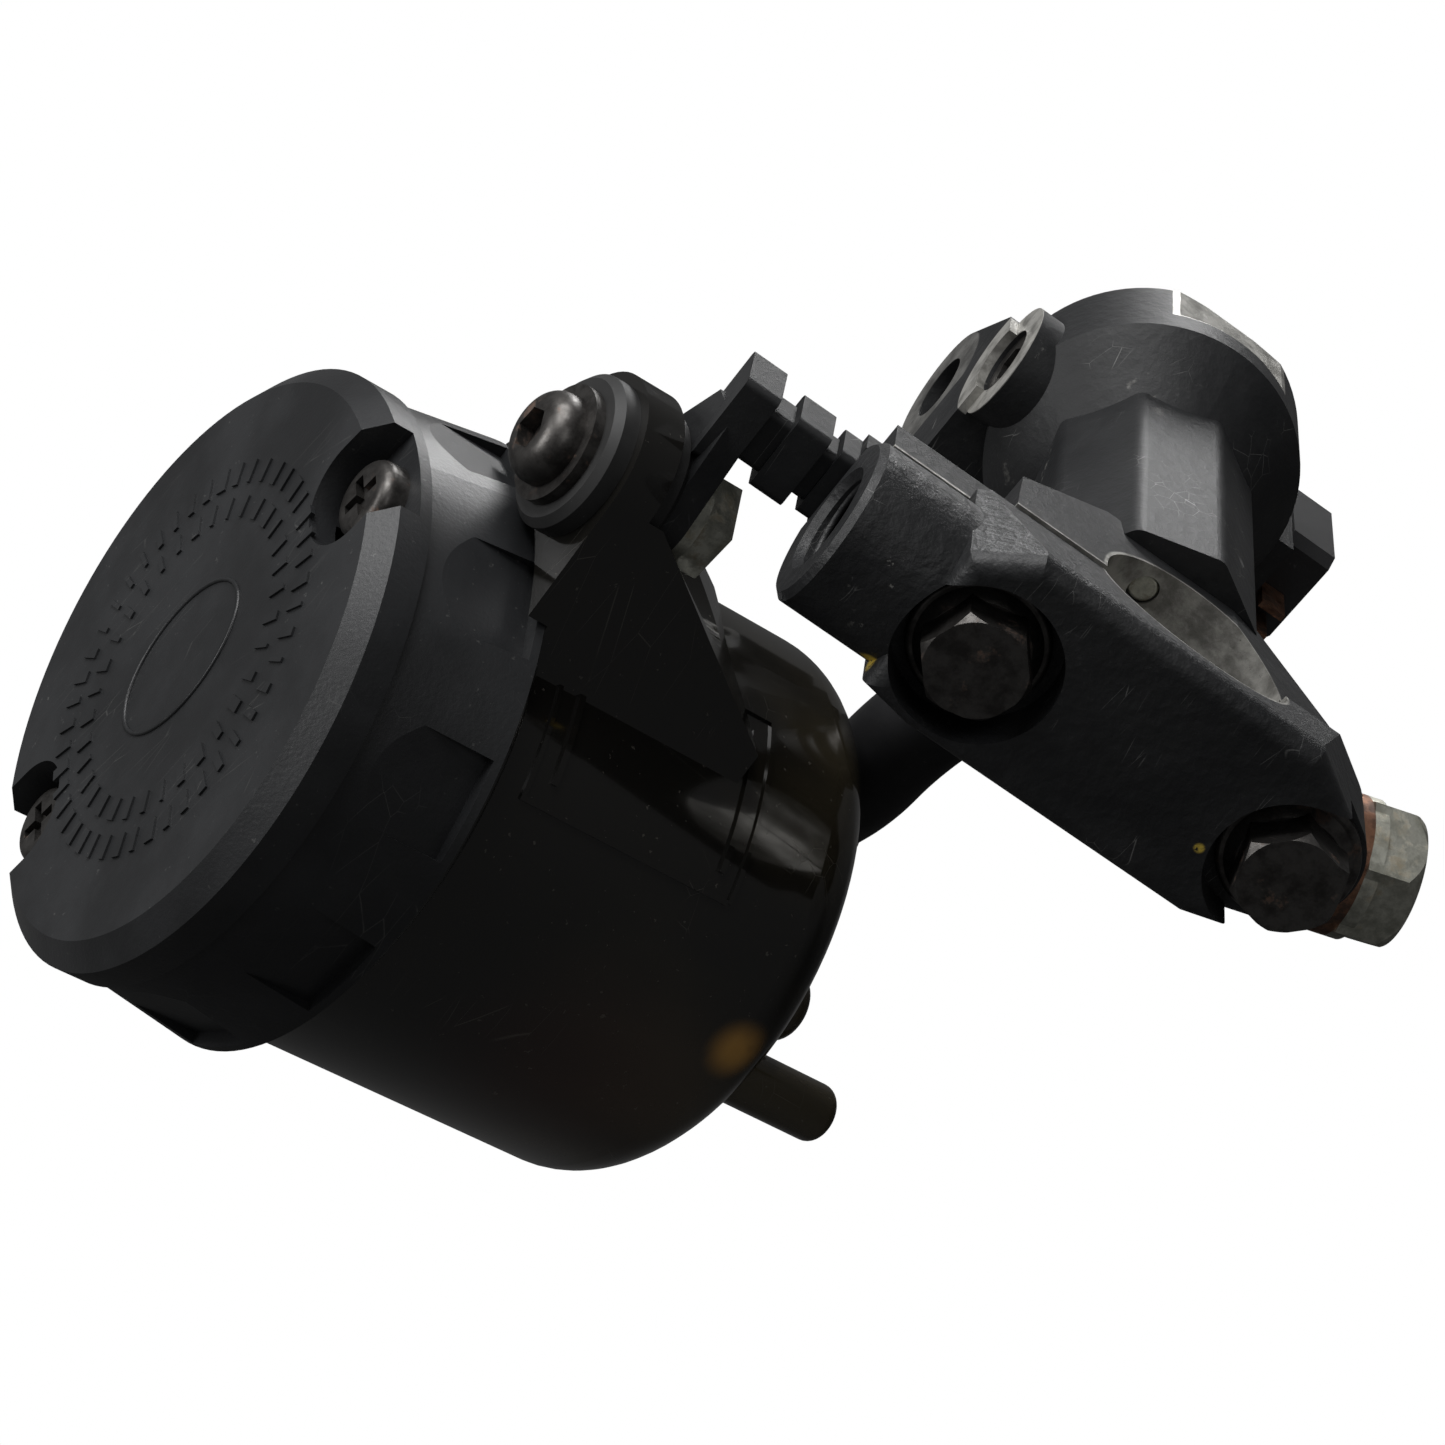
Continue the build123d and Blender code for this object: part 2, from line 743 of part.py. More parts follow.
def build_diaphragm():
    t = diaphragm_thickness
    top = cup_rim
    fold = top - 8.0
    rubber = spun([
        (0, fold),
        (9.0, fold),
        (11.0, top - 2.6),
        (14.6, top - 2.6),
        (16.4, fold),
        (17.8, fold),
        (18.6, top),
        (cup_radius - 1.0, top),
        (cup_radius - 1.0, top - t),
        (19.8, top - t),
        (19.0, fold - t),
        (15.2, fold - t),
        (13.4, top - 2.6 - t),
        (12.2, top - 2.6 - t),
        (10.2, fold - t),
        (0, fold - t),
    ])
    for place in screw_places(cap_screw_orbit):
        rubber -= place * Cylinder(cap_screw_radius + hole_clearance, 60)
    return rubber


def build_diaphragm_plate():
    plate = Location((0, 0, cup_rim)) * Cylinder(21.4, plate_thickness, align=upward)
    for turn in range(4):
        plate -= Rot(0, 0, 45 + 90 * turn) * Location((11.0, 0, cup_rim)) * Cylinder(3.0, 10)
    return plate


# ---- reservoir ear pieces, in the reservoir's frame ----

def at_ear(height):
    return Location((ear_x, ear_y, height))


def grommet_top():
    return ear_top + grommet_lip


def grommet_base():
    return ear_top - ear_plate - grommet_lip


def build_ear_grommet():
    waist = ear_hole_radius
    rubber = spun([
        (sleeve_radius, grommet_base()),
        (grommet_radius - 0.8, grommet_base()),
        (grommet_radius, grommet_base() + 0.8),
        (grommet_radius, ear_top - ear_plate),
        (waist, ear_top - ear_plate),
        (waist, ear_top),
        (grommet_radius, ear_top),
        (grommet_radius, grommet_top() - 0.8),
        (grommet_radius - 0.8, grommet_top()),
        (sleeve_radius, grommet_top()),
    ])
    return Location((ear_x, ear_y, 0)) * rubber


def build_ear_sleeve():
    height = grommet_top() - grommet_base()
    sleeve = Cylinder(sleeve_radius, height, align=upward) - Cylinder(sleeve_hole, 80)
    return at_ear(grommet_base()) * sleeve


def build_ear_washer():
    washer = Cylinder(ear_washer_radius, ear_washer_thickness, align=upward) - Cylinder(sleeve_hole, 80)
    return at_ear(grommet_top()) * washer


def build_ear_bolt():
    base = grommet_top() + ear_washer_thickness
    end = grommet_base() - stay_thickness - nut_height - 1.2
    head = Cylinder(button_radius, button_height, align=upward)
    head = fillet(head.edges().sort_by(Axis.Z)[-1], 2.4)
    socket = Location((0, 0, button_height - 1.8)) * hexagon(4.0, 4.0)
    shank = Location((0, 0, end - base)) * Cylinder(m6_radius, base - end, align=upward)
    return at_ear(base) * (head + shank - socket)


def build_ear_nut():
    top = grommet_base() - stay_thickness
    flange = Location((0, 0, -1.4)) * Cylinder(nut_flange_radius, 1.4, align=upward)
    body = Location((0, 0, -nut_height)) * hexagon(m6_flats, nut_height)
    return at_ear(top) * (flange + body - Cylinder(m6_radius, 80))


# ---- reservoir stay ----

def stay_column():
    steps = [
        (pad_top, 3.0, 1.0),
        (pad_top + 3.0, 1.5, 2.0),
        (pad_top + 4.5, 3.8, 0.6),
        (pad_top + 8.3, 2.6, 1.8),
        (pad_top + 10.9, stay_top - pad_top - 10.9, 0.0),
    ]
    column = None
    for low, height, inset in steps:
        step = slab(
            stay_inboard + inset, stay_outboard - inset,
            stay_back + inset * 0.7, stay_front - inset * 0.7,
            low, low + height,
        )
        step = fillet(step.edges().filter_by(Axis.Z), 0.8)
        column = step if column is None else column + step
    return column


def stay_arm():
    # tongue from the column to the ear bolt, square to the reservoir's axis
    eye = Location((ear_x, ear_y)) * Circle(6.8)
    middle = Vector(stay_inboard + 3.0, (stay_back + stay_front) / 2, stay_top - 3.0)
    reach = reservoir.to_local_coords(middle)
    root = Location((reach.X, reach.Y)) * Rectangle(4.0, 5.6)
    tongue = extrude(make_hull((eye + root).edges()), stay_thickness)
    tongue = Location((0, 0, grommet_base() - stay_thickness)) * tongue
    return reservoir.location * (tongue - at_ear(0) * Cylinder(m6_radius + hole_clearance, 200))


def build_reservoir_stay():
    foot = slab(stay_screw_x - 5.0, stay_screw_x + 5.0, pad_depth, pad_depth + 3.2, stay_foot, pad_top + 1)
    foot -= rod((stay_screw_x, 0, stay_screw_z), (0, 1, 0), 40, m5_radius + hole_clearance)
    return stay_column() + foot + stay_arm()


def build_stay_screw():
    place = Plane(origin=(stay_screw_x, pad_depth + 3.2, stay_screw_z), x_dir=(1, 0, 0), z_dir=(0, 1, 0))
    head = Cylinder(4.2, 3.6, align=upward)
    head = chamfer(head.edges().sort_by(Axis.Z)[-1], 0.5)
    socket = Location((0, 0, 1.6)) * hexagon(4.0, 4.0)
    shank = Location((0, 0, -7.0)) * Cylinder(m5_radius, 7.0, align=upward)
    return place * (head + shank - socket)


# ---- brake light switch ----

def build_switch_body():
    top = -ear_outer
    low = top - switch_depth
    case = slab(switch_inboard, switch_outboard, switch_back, switch_front, low, top)
    case = chamfer(case.edges().filter_by(Axis.Z), 1.2)
    case -= rod((switch_screw[0], switch_screw[1], low - 1), (0, 0, 1), 20, 1.5 + hole_clearance / 2)
    case -= rod((switch_screw[0], switch_screw[1], low - 1), (0, 0, 1), 3.2, 3.1)
    guide = rod((plunger_x, switch_front - 7.0, low + 3.6), (0, 1, 0), 8.0, plunger_radius + 0.3)
    return case - guide


def build_switch_plunger():
    low = -ear_outer - switch_depth
    start = switch_front - 4.4
    length = 4.4 + plunger_length
    pin = Cylinder(plunger_radius, length, align=upward)
    pin = fillet(pin.edges().sort_by(Axis.Z)[-1], 0.9)
    place = Plane(origin=(plunger_x, start, low + 3.6), x_dir=(1, 0, 0), z_dir=(0, 1, 0))
    return place * pin


def build_switch_screw():
    low = -ear_outer - switch_depth
    place = Plane(origin=(switch_screw[0], switch_screw[1], low + 2.2), x_dir=(1, 0, 0), z_dir=(0, 0, -1))
    return place * pan_screw(1.5, switch_depth + 4.4, 2.8, 1.9, 3.2)


def build_switch_terminals():
    low = -ear_outer - switch_depth
    tabs = []
    for x in (switch_inboard + 2.6, switch_inboard + 5.8):
        tabs.append(slab(x - 0.4, x + 0.4, switch_back - 5.5, switch_back, low + 2.0, low + 5.2))
    return tabs


def build_locating_pin():
    x, y, z = locating_place
    start = bar_radius - 0.1
    length = y + locating_hole_depth - start
    pin = Cylinder(locating_hole_radius, length, align=upward)
    pin = fillet(pin.edges().sort_by(Axis.Z)[0], 0.5)
    return Plane(origin=(x, start, z), x_dir=(1, 0, 0), z_dir=(0, 1, 0)) * pin


# ---- supply hose ----

def hose_route():
    face = (inlet_face_x, inlet_y, inlet_z)
    first = reservoir.from_local_coords(outlet_point(outlet_reach - hose_overlap))
    second = reservoir.from_local_coords(outlet_point(outlet_reach + hose_lead))
    before = point_along(face, inlet_direction, nipple_length + hose_lead)
    last = point_along(face, inlet_direction, nipple_length - hose_overlap)
    return [first, second, before, last]


def route_radii(points):
    radii = []
    for before, corner, after in zip(points, points[1:], points[2:]):
        turn = (corner - before).get_angle(after - corner)
        shorter = min((corner - before).length, (after - corner).length)
        radii.append(0.45 * shorter / tan(radians(turn / 2)))
    return radii


def hose_path():
    points = hose_route()
    radii = route_radii(points)
    print("hose bend radii", [round(r, 1) for r in radii])
    path = FilletPolyline(*points, radius=radii)
    print("hose length", round(path.length, 1))
    return path


def build_supply_hose():
    path = hose_path()
    start = Plane(origin=path @ 0, z_dir=path % 0)
    outside = sweep(start * Circle(hose_radius), path=path)
    return outside - sweep(start * Circle(nipple_radius), path=path)


def build_hose_clips():
    # spring bands over the hose, one on each spigot
    first, second, before, last = hose_route()
    clips = []
    for start, end in ((first, second), (last, before)):
        place = point_along(start, end - start, 1.8)
        clips.append(tube(place, end - start, clip_width, hose_radius + clip_thickness, hose_radius))
    return clips


def in_reservoir(shape):
    return reservoir.location * shape


save("cylinder_body", build_body())
save("clamp_cap", build_clamp_cap())
save("clamp_bolts", build_clamp_bolts())
save("locating_pin", build_locating_pin())
save("crush_washers", build_crush_washers())
save("banjo_bolt", build_banjo_bolt())
save("port_plug", build_port_plug())
save("piston", build_piston())
save("primary_seal", build_primary_seal())
save("secondary_seal", build_secondary_seal())
save("spring_seat", build_spring_seat())
save("return_spring", build_return_spring())
save("stop_washer", build_stop_washer())
save("circlip", build_circlip())
save("push_rod", build_push_rod())
save("dust_boot", build_boot())
save("inlet_nipple", build_inlet_nipple())
save("inlet_oring", build_inlet_oring())
save("inlet_screw", build_inlet_screw())
save("supply_hose", build_supply_hose())
save("hose_clips", Compound(build_hose_clips()))
save("reservoir_cup", in_reservoir(build_reservoir_cup()))
save("reservoir_cap", in_reservoir(build_reservoir_cap()))
save("cap_screws", Compound([in_reservoir(screw) for screw in build_cap_screws()]))
save("cap_diaphragm", in_reservoir(build_diaphragm()))
save("diaphragm_plate", in_reservoir(build_diaphragm_plate()))
save("ear_grommet", in_reservoir(build_ear_grommet()))
save("ear_sleeve", in_reservoir(build_ear_sleeve()))
save("ear_washer", in_reservoir(build_ear_washer()))
save("ear_bolt", in_reservoir(build_ear_bolt()))
save("ear_nut", in_reservoir(build_ear_nut()))
save("reservoir_stay", build_reservoir_stay())
save("stay_screw", build_stay_screw())
save("switch_body", build_switch_body())
save("switch_plunger", build_switch_plunger())
save("switch_screw", build_switch_screw())
save("switch_terminals", Compound(build_switch_terminals()))
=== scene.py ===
import bpy
import json
from math import cos, radians, sin
from mathutils import Matrix, Vector


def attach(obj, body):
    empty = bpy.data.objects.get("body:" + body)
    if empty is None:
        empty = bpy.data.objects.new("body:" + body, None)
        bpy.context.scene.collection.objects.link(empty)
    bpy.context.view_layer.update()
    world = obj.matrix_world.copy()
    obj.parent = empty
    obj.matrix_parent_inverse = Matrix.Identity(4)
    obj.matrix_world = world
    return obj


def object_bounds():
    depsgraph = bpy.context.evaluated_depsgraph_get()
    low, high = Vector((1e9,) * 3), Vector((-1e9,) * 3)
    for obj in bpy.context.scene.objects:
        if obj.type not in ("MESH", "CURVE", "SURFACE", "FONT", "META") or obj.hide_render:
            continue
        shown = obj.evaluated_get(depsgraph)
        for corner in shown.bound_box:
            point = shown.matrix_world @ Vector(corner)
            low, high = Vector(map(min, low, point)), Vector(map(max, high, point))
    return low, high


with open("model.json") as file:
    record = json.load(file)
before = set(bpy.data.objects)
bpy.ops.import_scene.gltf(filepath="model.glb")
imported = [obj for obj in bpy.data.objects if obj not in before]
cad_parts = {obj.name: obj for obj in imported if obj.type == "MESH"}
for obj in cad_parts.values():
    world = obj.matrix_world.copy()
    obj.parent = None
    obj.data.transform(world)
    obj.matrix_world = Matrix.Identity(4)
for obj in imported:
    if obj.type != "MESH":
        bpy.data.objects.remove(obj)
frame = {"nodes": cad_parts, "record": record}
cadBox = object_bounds()
nodes = frame["nodes"]
print("frame loaded:", len(nodes), "nodes")

# where the reservoir stands: its cap's top edge, and the way it leans
reservoirSpot = Vector((-0.0551, -0.0005, 0.0782))
reservoirUp = Vector((0.079, -0.336, 0.938)).normalized()
reservoirSide = Vector((0, 1, 0)).cross(reservoirUp).normalized()
reservoirFront = reservoirUp.cross(reservoirSide)
reservoirTurn = Matrix((reservoirSide, reservoirFront, reservoirUp)).transposed().to_4x4()
reservoirPlace = Matrix.Translation(reservoirSpot) @ reservoirTurn


class Wire:
    # one output socket, with arithmetic
    def __init__(self, graph, socket):
        self.graph = graph
        self.socket = socket

    def calc(self, operation, *values):
        return self.graph.add("ShaderNodeMath", {"operation": operation}, dict(enumerate(values)))

    def __add__(self, other):
        return self.calc("ADD", self, other)

    def __radd__(self, other):
        return self.calc("ADD", other, self)

    def __sub__(self, other):
        return self.calc("SUBTRACT", self, other)

    def __rsub__(self, other):
        return self.calc("SUBTRACT", other, self)

    def __mul__(self, other):
        return self.calc("MULTIPLY", self, other)

    def __rmul__(self, other):
        return self.calc("MULTIPLY", other, self)

    def most(self, other):
        return self.calc("MAXIMUM", self, other)

    def size(self):
        return self.calc("ABSOLUTE", self)

    def root(self):
        return self.calc("SQRT", self)

    def ramp(self, low, high):
        # 0 below low, 1 above high, smooth between
        settings = {"interpolation_type": "SMOOTHSTEP", "clamp": True}
        return self.graph.add("ShaderNodeMapRange", settings, {0: self, 1: low, 2: high})


class Graph:
    def __init__(self, name):
        self.material = bpy.data.materials.new(name)
        self.material.use_nodes = True
        self.nodes = self.material.node_tree.nodes
        self.links = self.material.node_tree.links
        self.nodes.clear()

    def add(self, kind, settings=None, sockets=None, out=0):
        node = self.nodes.new(kind)
        for key, value in (settings or {}).items():
            if key == "stops":
                self.fillRamp(node.color_ramp, value)
            else:
                setattr(node, key, value)
        for key, value in (sockets or {}).items():
            if isinstance(value, Wire):
                self.links.new(value.socket, node.inputs[key])
            elif value is not None:
                node.inputs[key].default_value = value
        return Wire(self, node.outputs[out]) if len(node.outputs) else node

    def fillRamp(self, colorRamp, stops):
        while len(colorRamp.elements) < len(stops):
            colorRamp.elements.new(0.5)
        for element, (place, color) in zip(colorRamp.elements, stops):
            element.position = place
            element.color = color

    def place(self):
        return self.add("ShaderNodeTexCoord", out=3)

    def axes(self, point):
        return [self.add("ShaderNodeSeparateXYZ", {}, {0: point}, out=index) for index in range(3)]

    def noise(self, scale, detail=3.0, rough=0.5, stretch=None):
        point = self.place()
        if stretch:
            point = self.add("ShaderNodeMapping", {}, {"Vector": point, "Scale": stretch})
        values = {"Vector": point, "Scale": scale, "Detail": detail, "Roughness": rough}
        return self.add("ShaderNodeTexNoise", {}, values)

    def cells(self, scale, feature="F1", stretch=None):
        point = self.place()
        if stretch:
            point = self.add("ShaderNodeMapping", {}, {"Vector": point, "Scale": stretch})
        return self.add("ShaderNodeTexVoronoi", {"feature": feature}, {"Vector": point, "Scale": scale})

    def mix(self, factor, first, second):
        colors = {0: factor, 6: rgb(first), 7: rgb(second)}
        return self.add("ShaderNodeMix", {"data_type": "RGBA"}, colors, out=2)

    def bump(self, height, strength, distance, normal=None):
        values = {"Height": height, "Strength": strength, "Distance": distance, "Normal": normal}
        return self.add("ShaderNodeBump", {}, values)

    def along(self, direction):
        sockets = {0: self.place(), 1: direction}
        return self.add("ShaderNodeVectorMath", {"operation": "DOT_PRODUCT"}, sockets, out=1)

    def near(self, spot, radius, soft):
        # 1 within radius of a spot, fading over soft
        sockets = {0: self.place(), 1: spot}
        offset = self.add("ShaderNodeVectorMath", {"operation": "DISTANCE"}, sockets, out=1)
        return 1 - offset.ramp(radius - soft, radius + soft)

    def finish(self, **values):
        names = {"color": "Base Color", "rough": "Roughness", "metal": "Metallic", "normal": "Normal",
                 "coat": "Coat Weight", "coatRough": "Coat Roughness", "spec": "Specular IOR Level",
                 "ior": "IOR", "sheen": "Sheen Weight"}
        sockets = {names[key]: rgb(value) if key == "color" else value for key, value in values.items()}
        shader = self.add("ShaderNodeBsdfPrincipled", {}, sockets)
        self.add("ShaderNodeOutputMaterial", {}, {0: shader})
        return self.material


def rgb(color):
    return (*color, 1.0) if isinstance(color, tuple) and len(color) == 3 else color


def scratches(graph, scale, width, turn):
    # thin wandering lines where stretched cells meet
    stretch = (1, 9, 9)
    point = graph.add("ShaderNodeMapping", {}, {"Vector": graph.place(), "Rotation": turn, "Scale": stretch})
    sockets = {"Vector": point, "Scale": scale}
    edge = graph.add("ShaderNodeTexVoronoi", {"feature": "DISTANCE_TO_EDGE"}, sockets)
    keep = graph.noise(scale * 2.2, 2).ramp(0.56, 0.66)
    return (1 - edge.ramp(0, width)) * keep


portSpot = Vector((-0.0080, 0.0111, -0.0276))
portDirection = Vector((0.25, 0.10, -0.96)).normalized()
castFinish = {
    "grain": 1500, "grainDepth": 0.00028, "dark": (0.009, 0.0095, 0.0105), "dusty": (0.07, 0.07, 0.07),
}


def bareMetal(graph, along=(1, 1, 1)):
    # worn machined aluminium: grey blotches, fine turning lines
    blotch = graph.noise(260, 5, 0.62)
    lines = graph.noise(900, 3, 0.6, along)
    color = graph.mix(blotch.ramp(0.36, 0.66), (0.5, 0.49, 0.46), (0.2, 0.195, 0.18))
    return color, 0.24 + blotch * 0.26, lines


def castBlack(name, spots=(), grain=1.0, gloss=0.5):
    graph = Graph(name)
    sand = graph.noise(castFinish["grain"], 4, 0.62)
    pits = graph.cells(castFinish["grain"] * 0.42)
    cloud = graph.noise(70, 5, 0.6)
    dust = graph.noise(1500, 4, 0.7).ramp(0.58, 0.74) * cloud.ramp(0.42, 0.68)
    color = graph.mix(cloud.ramp(0.3, 0.7), castFinish["dark"], (0.021, 0.0215, 0.0225))
    color = graph.mix(dust * 0.55, color, castFinish["dusty"])
    marks = scratches(graph, 60, 0.012, (0.3, 0.7, 0.4))
    color = graph.mix(marks * 0.75, color, (0.2, 0.2, 0.195))
    for spot, radius, paint in spots:
        ragged = graph.near(spot, radius, radius * 0.35) * graph.noise(1800, 3).ramp(0.36, 0.46)
        color = graph.mix(ragged, color, paint)
    normal = graph.bump(sand * 0.7 + pits * 0.5, 0.55 * grain, castFinish["grainDepth"])
    rough = gloss + cloud * 0.12 - marks * 0.15
    return graph, color, rough, normal


def makeCapFinish():
    yellow = (0.55, 0.4, 0.06)
    spots = [((-0.0071, -0.0121, 0.0261), 0.0011, yellow), ((-0.0025, -0.0155, -0.0098), 0.0005, yellow)]
    graph, color, rough, normal = castBlack("cast_black", spots, 1.0, 0.42)
    x, y, z = graph.axes(graph.place())
    barGap = (y * y + z * z).root()
    bare = 1 - barGap.ramp(0.01125, 0.0115)
    scrape = graph.near((0.001, -0.0125, 0.0295), 0.0045, 0.004) * graph.noise(700, 5, 0.7).ramp(0.64, 0.7)
    bare = bare.most(scrape * 0.8)
    metal, metalRough, _ = bareMetal(graph)
    return graph.finish(
        color=graph.mix(bare, color, metal), rough=rough * (1 - bare) + metalRough * bare,
        metal=bare * 0.5, normal=normal, spec=0.42,
    )


def makeBodyFinish():
    graph, color, rough, normal = castBlack("body_black", (), 0.5, 0.46)
    x, y, z = graph.axes(graph.place())
    saddle = 1 - (y * y + z * z).root().ramp(0.0113, 0.0116)
    split = 1 - y.ramp(0.0002, 0.0005)
    flat = x.ramp(0.0156, 0.0157) * y.ramp(0.0583, 0.0585)
    plugFace = z.ramp(0.01888, 0.01894) * graph.near((0, 0.0586, 0.019), 0.0074, 0.0001)
    earTop = z.size().ramp(0.0199, 0.01995) * y.ramp(0.0662, 0.0664)
    earFace = earTop * graph.near((-0.012, 0.072, 0.02), 0.0076, 0.0002)
    portOut = graph.along(tuple(portDirection)) - portSpot.dot(portDirection)
    portFace = graph.near(tuple(portSpot), 0.0079, 0.0002) * portOut.ramp(-0.0002, -0.0001)
    bore = (1 - (x * x + z * z).root().ramp(0.0101, 0.0102)) * y.ramp(0.017, 0.018)
    bare = saddle.most(split).most(flat).most(plugFace).most(bore).most(earFace * 0.25).most(portFace)
    worn = graph.noise(480, 5, 0.7).ramp(0.30, 0.36)
    bare = bare * (0.35 + worn * 0.65)
    edgeWear = graph.noise(160, 6, 0.7).ramp(0.63, 0.7) * graph.near((0, 0.05, 0.014), 0.014, 0.008)
    bare = bare.most(edgeWear * 0.35)
    metal, metalRough, lines = bareMetal(graph, (1, 5, 1))
    ringLines = graph.bump(lines, 0.12, 0.00004, normal)
    return graph.finish(
        color=graph.mix(bare, color, metal), rough=rough * (1 - bare) + metalRough * bare,
        metal=bare * 0.5, normal=ringLines, spec=0.32,
    )


def makeStayFinish():
    graph, color, rough, normal = castBlack("stay_black", (), 0.35, 0.5)
    return graph.finish(color=color, rough=rough, normal=normal, spec=0.35)


def metalFinish(name, light, dark, rough, rust=0.0, rustColor=(0.16, 0.07, 0.03), scale=500, metal=1.0):
    graph = Graph(name)
    blotch = graph.noise(scale, 6, 0.66)
    color = graph.mix(blotch.ramp(0.35, 0.68), light, dark)
    grime = graph.noise(scale * 0.6, 5, 0.7).ramp(0.62 - rust * 0.3, 0.72 - rust * 0.2)
    color = graph.mix(grime * min(1.0, 0.3 + rust), color, rustColor)
    fine = graph.noise(scale * 6, 3, 0.6)
    normal = graph.bump(fine + blotch * 2, 0.28, 0.00005)
    shine = rough + blotch * 0.3 + grime * 0.15
    return graph.finish(color=color, rough=shine, metal=metal - grime * 0.6, normal=normal)


def plasticFinish(name, color, rough, grain=0.3, scale=2600, dust=0.3, spec=0.45):
    graph = Graph(name)
    fine = graph.noise(scale, 4, 0.6)
    cloud = graph.noise(55, 5, 0.6)
    specks = graph.noise(1100, 3, 0.7).ramp(0.66, 0.72) * cloud.ramp(0.4, 0.62)
    lighter = tuple(min(1.0, value * 1.7 + 0.004) for value in color)
    tone = graph.mix(cloud.ramp(0.35, 0.68), color, lighter)
    marks = scratches(graph, 42, 0.01, (0.9, 0.2, 0.5))
    tone = graph.mix((specks * dust).most(marks * 0.35), tone, (0.12, 0.12, 0.115))
    normal = graph.bump(fine, grain, 0.00006)
    return graph.finish(color=tone, rough=rough + cloud * 0.1, normal=normal, spec=spec)


def makeCupFinish():
    # smoked plastic: near black, amber where light comes through low down
    graph = Graph("smoked_cup")
    x, y, z = graph.axes(graph.place())
    level = graph.along(tuple(reservoirUp)) - reservoirSpot.dot(reservoirUp)
    low = 1 - level.ramp(-0.066, -0.03)
    cloud = graph.noise(38, 3, 0.5, (1, 1, 0.35))
    murk = graph.mix(low * cloud.ramp(0.4, 0.75), (0.008, 0.0075, 0.0065), (0.055, 0.045, 0.026))
    # painted highlight: a small bright amber spot low on the cup stands in for light caught there
    amberHighlightSpot = tuple(reservoirPlace @ Vector((0.0075, -0.0306, -0.0615)))
    paintedAmberHighlight = graph.near(amberHighlightSpot, 0.0024, 0.0018) * graph.noise(150, 2).ramp(0.3, 0.5)
    murk = graph.mix(paintedAmberHighlight * 0.85, murk, (0.5, 0.26, 0.05))
    reddish = graph.near((-0.066, -0.016, 0.022), 0.012, 0.01) * cloud
    murk = graph.mix(reddish * 0.5, murk, (0.05, 0.008, 0.006))
    film = graph.noise(620, 5, 0.7)
    marks = scratches(graph, 34, 0.008, (0.2, 1.1, 0.4))
    murk = graph.mix(marks * 0.3, murk, (0.16, 0.15, 0.13))
    specks = graph.noise(1300, 2, 0.6).ramp(0.7, 0.74)
    murk = graph.mix(specks * 0.3, murk, (0.16, 0.15, 0.13))
    normal = graph.bump(graph.noise(120, 2), 0.05, 0.0003)
    return graph.finish(
        color=murk, rough=0.06 + film * 0.1 + marks * 0.2, normal=normal,
        spec=0.5, ior=1.5, coat=0.5, coatRough=0.04,
    )


black = (0.011, 0.0115, 0.0125)
finishes = {
    "cast_black": makeCapFinish(),
    "body_black": makeBodyFinish(),
    "stay_black": makeStayFinish(),
    "smoked_cup": makeCupFinish(),
    "bolt_steel": metalFinish(
        "bolt_steel", (0.11, 0.105, 0.1), (0.045, 0.042, 0.04),
        0.26, 0.12, metal=0.9,
    ),
    "zinc_steel": metalFinish(
        "zinc_steel", (0.66, 0.66, 0.58), (0.34, 0.34, 0.29),
        0.3, 0.35, (0.22, 0.17, 0.1),
    ),
    "spring_steel": metalFinish("spring_steel", (0.6, 0.6, 0.6), (0.35, 0.35, 0.36), 0.2),
    "copper": metalFinish(
        "copper", (0.36, 0.19, 0.12), (0.1, 0.055, 0.04),
        0.3, 0.5, (0.035, 0.025, 0.02), 420,
    ),
    "anodised": metalFinish("anodised", (0.4, 0.39, 0.36), (0.26, 0.25, 0.23), 0.35),
    "seal_rubber": plasticFinish("seal_rubber", (0.012, 0.012, 0.012), 0.5, 0.2, 1800, 0.35, 0.4),
    "hose_rubber": plasticFinish("hose_rubber", (0.010, 0.010, 0.011), 0.52, 0.35, 1300, 0.5, 0.35),
    "cap_plastic": plasticFinish("cap_plastic", black, 0.36, 0.6, 2000, 0.5),
    "switch_plastic": plasticFinish("switch_plastic", (0.009, 0.009, 0.01), 0.45, 0.3),
}
slotOf = {part["node"]: part["material_slot"] for part in frame["record"]["subparts"]}
for name, obj in nodes.items():
    look = "stay_black" if name == "reservoir_stay" else slotOf[name]
    obj.data.materials.clear()
    obj.data.materials.append(finishes[look])
print("finishes made:", len(finishes))


class Tree:
    def __init__(self, name, inputs):
        self.group = bpy.data.node_groups.new(name, "GeometryNodeTree")
        self.group.interface.new_socket("Geometry", in_out="OUTPUT", socket_type="NodeSocketGeometry")
        for label, (kind, value) in inputs.items():
            socket = self.group.interface.new_socket(label, in_out="INPUT", socket_type=kind)
            socket.default_value = value
        self.start = self.group.nodes.new("NodeGroupInput")

    def given(self, label):
        return self.start.outputs[label]

    def add(self, kind, settings=None, sockets=None, out=0):
        node = self.group.nodes.new(kind)
        for key, value in (settings or {}).items():
            setattr(node, key, value)
        for key, value in (sockets or {}).items():
            if isinstance(value, bpy.types.NodeSocket):
                self.group.links.new(value, node.inputs[key])
            else:
                node.inputs[key].default_value = value
        return node.outputs[out]

    def close(self, geometry, material):
        whole = self.add("GeometryNodeRealizeInstances", {}, {0: geometry})
        dressed = self.add("GeometryNodeSetMaterial", {}, {0: whole, "Material": material})
        end = self.group.nodes.new("NodeGroupOutput")
        self.group.links.new(dressed, end.inputs[0])


